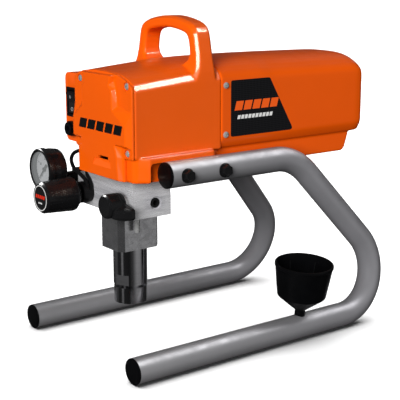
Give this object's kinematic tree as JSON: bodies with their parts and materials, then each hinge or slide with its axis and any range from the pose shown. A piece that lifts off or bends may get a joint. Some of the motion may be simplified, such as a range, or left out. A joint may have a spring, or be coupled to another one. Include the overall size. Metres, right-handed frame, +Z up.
{
  "type": "airless paint sprayer",
  "caption": "Electric airless paint sprayer: painted drive housing with carrying handle and motor cover, upright piston pump, pressure control and gauge, on a two-loop tube stand.",
  "frame": {"origin": "on the floor under the middle of the whole machine", "axes": "+X towards the side with the drip cup, +Y from the pump end to the motor end, +Z up"},
  "size_m": [0.3014, 0.433, 0.4114],
  "materials": {
    "orange_paint": "orange powder coat, satin gloss",
    "orange_shell": "orange moulded cover, satin gloss",
    "silver_paint": "silver grey metallic powder coat, satin",
    "black_plastic": "moulded black, fine grain",
    "black_label": "printed foil, satin",
    "black_steel": "black oxide or black enamel",
    "cast_aluminium": "machined and brushed",
    "plated_steel": "zinc plated",
    "grey_steel": "grey coating, matt",
    "turned_steel": "turned, lightly oiled",
    "hard_chrome": "ground and polished",
    "brass_fitting": "plain turned brass",
    "pale_plastic": "packing rings",
    "dial_face": "printed dial",
    "clear_lens": "clear window",
    "cable_rubber": "cable jacket",
    "copper_winding": "wound copper on laminations",
    "carbon": "carbon block",
    "circuit_board": "circuit board with parts"
  },
  "bodies": {
    "chassis": {"right_side_frame": "silver_paint", "left_side_frame": "silver_paint", "tube_end_caps": "black_plastic", "frame_bolts": "black_steel", "drive_housing": "orange_paint", "front_cover": "orange_paint", "rear_cover": "orange_shell", "cover_screws": "plated_steel", "side_labels": "black_label", "switch_box": "orange_shell", "switch_body": "black_plastic", "cord_gland": "black_plastic", "manifold": "cast_aluminium", "manifold_bolts": "plated_steel", "manifold_plug": "black_steel", "drain_valve_body": "plated_steel", "drain_outlet": "plated_steel", "hose_outlet": "brass_fitting", "filter_element": "plated_steel", "filter_cap": "plated_steel", "pressure_switch": "black_plastic", "gauge_adapter": "black_steel", "gauge_case": "black_steel", "gauge_dial": "dial_face", "gauge_lens": "clear_lens", "control_cable": "cable_rubber", "sensor_cable": "cable_rubber", "pump_block": "grey_steel", "pump_cylinder": "turned_steel", "inlet_valve_body": "turned_steel", "inlet_seat": "turned_steel", "throat_packings": "pale_plastic", "packing_nut": "turned_steel", "crank_bearing": "hard_chrome", "idler_pin": "turned_steel", "motor_plate": "cast_aluminium", "motor_case": "turned_steel", "motor_magnets": "black_steel", "motor_bearings": "hard_chrome", "motor_brushes": "carbon", "control_board": "circuit_board"},
    "rocker": {"switch_rocker": "black_plastic"},
    "pressure_control": {"pressure_spindle": "plated_steel", "pressure_knob": "black_plastic"},
    "drain_handle": {"drain_valve_handle": "black_plastic"},
    "needle": {"gauge_needle": "black_steel"},
    "motor_rotor": {"motor_shaft": "turned_steel", "armature": "copper_winding", "motor_pinion": "turned_steel", "cooling_fan": "black_plastic"},
    "idler": {"idler_gear": "turned_steel"},
    "crank": {"crankshaft": "turned_steel", "crank_roller": "hard_chrome", "crank_gear": "turned_steel"},
    "piston": {"piston_rod": "hard_chrome", "piston_seals": "pale_plastic", "drive_yoke": "turned_steel"},
    "outlet_check": {"outlet_ball": "hard_chrome"},
    "inlet_check": {"inlet_ball": "hard_chrome"},
    "cup": {"drip_cup": "black_plastic"}
  },
  "joints": [
    {"name": "switch_rocker_tilt", "type": "hinge", "parent": "chassis", "child": "rocker", "pos_m": [-0.09022, -0.1505, 0.304], "axis": [1, 0, 0], "range_deg": [-18, 0]},
    {"name": "pressure_knob_turn", "type": "hinge", "parent": "chassis", "child": "pressure_control", "pos_m": [-0.06822, -0.1865, 0.192], "axis": [0, 1, 0], "range_deg": [-135, 135]},
    {"name": "drain_handle_turn", "type": "hinge", "parent": "chassis", "child": "drain_handle", "pos_m": [0.01578, -0.1615, 0.191], "axis": [0, 1, 0], "range_deg": [0, 90]},
    {"name": "gauge_needle_turn", "type": "hinge", "parent": "chassis", "child": "needle", "pos_m": [-0.11072, -0.1865, 0.218], "axis": [0, 1, 0], "range_deg": [0, 270]},
    {"name": "motor_spin", "type": "hinge", "parent": "chassis", "child": "motor_rotor", "pos_m": [-0.01422, 0.0235, 0.3], "axis": [0, 1, 0], "continuous": true},
    {"name": "idler_spin", "type": "hinge", "parent": "chassis", "child": "idler", "pos_m": [0.01374, -0.0765, 0.2984], "axis": [0, 1, 0], "continuous": true},
    {"name": "crank_spin", "type": "hinge", "parent": "chassis", "child": "crank", "pos_m": [-0.01422, -0.0965, 0.285], "axis": [0, 1, 0], "continuous": true},
    {"name": "piston_stroke", "type": "slide", "parent": "chassis", "child": "piston", "axis": [0, 0, 1], "range_m": [-0.009, 0.009]},
    {"name": "outlet_ball_lift", "type": "slide", "parent": "piston", "child": "outlet_check", "axis": [0, 0, 1], "range_m": [0, 0.0025]},
    {"name": "inlet_ball_lift", "type": "slide", "parent": "chassis", "child": "inlet_check", "axis": [0, 0, 1], "range_m": [0, 0.003]},
    {"name": "drip_cup_lift", "type": "slide", "parent": "chassis", "child": "cup", "axis": [0.0958, 0, 0.9954], "range_m": [0, 0.06]}
  ],
  "couplings": [
    {"joint": "idler_spin", "follows": "motor_spin", "ratio": -0.33333},
    {"joint": "crank_spin", "follows": "motor_spin", "ratio": 0.097222}
  ]
}
